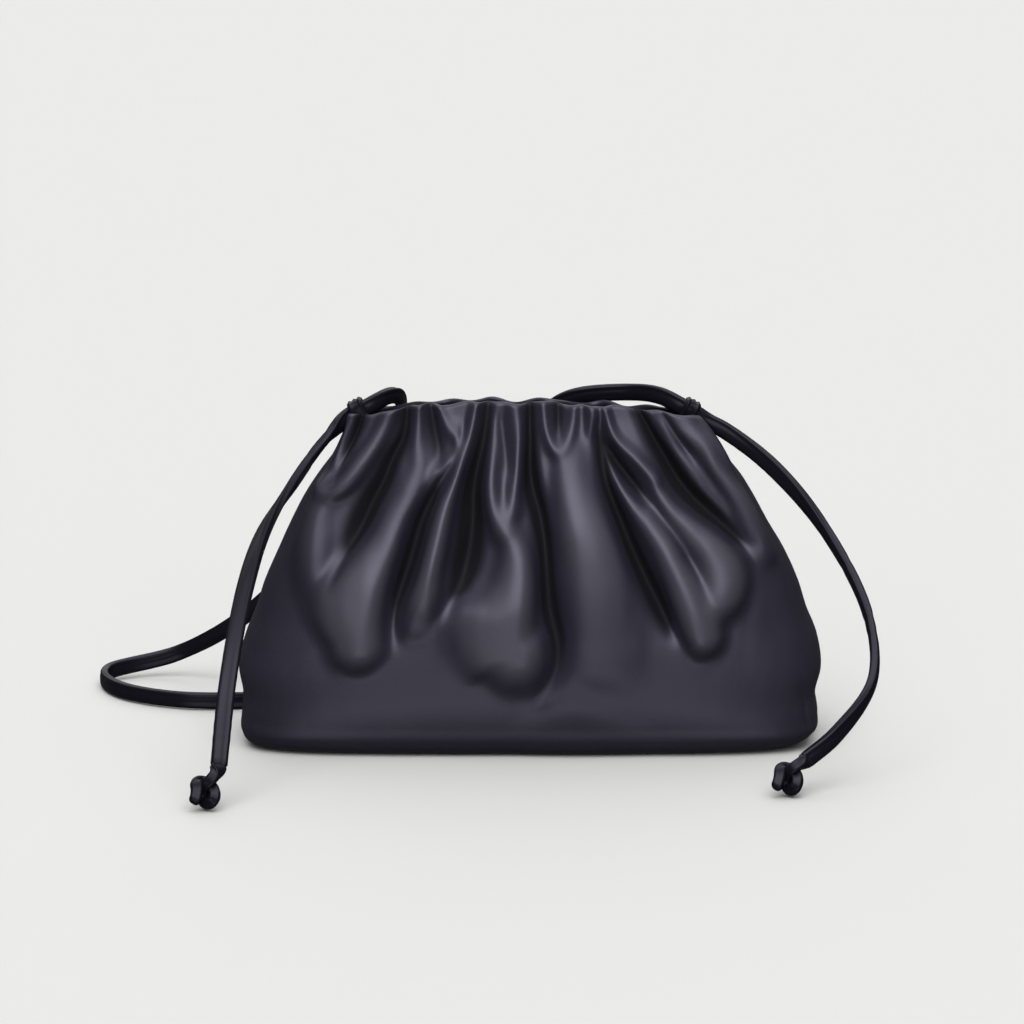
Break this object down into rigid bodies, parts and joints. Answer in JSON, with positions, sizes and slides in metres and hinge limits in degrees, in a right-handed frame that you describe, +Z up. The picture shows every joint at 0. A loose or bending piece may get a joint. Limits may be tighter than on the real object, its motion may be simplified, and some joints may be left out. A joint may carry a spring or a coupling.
{
  "type": "gathered pouch bag with a knotted strap",
  "caption": "Soft gathered leather pouch bag with an open frill mouth, a loop at each end of the mouth and one long strap through them that ends in knots.",
  "frame": {"origin": "on the floor under the middle of the pouch, between its ends and between its front and back", "axes": "+Z up, +X along the mouth towards the right end as seen from the front, -Y out of the front"},
  "size_m": [0.3238, 0.2387, 0.1464],
  "materials": {
    "pouch_leather": "smooth semi-gloss",
    "strap_leather": "smooth glossy"
  },
  "bodies": {
    "root": {"pouch": "pouch_leather", "loop_left": "strap_leather", "loop_right": "strap_leather", "strap": "strap_leather", "knot_left": "strap_leather", "knot_right": "strap_leather"}
  },
  "joints": []
}
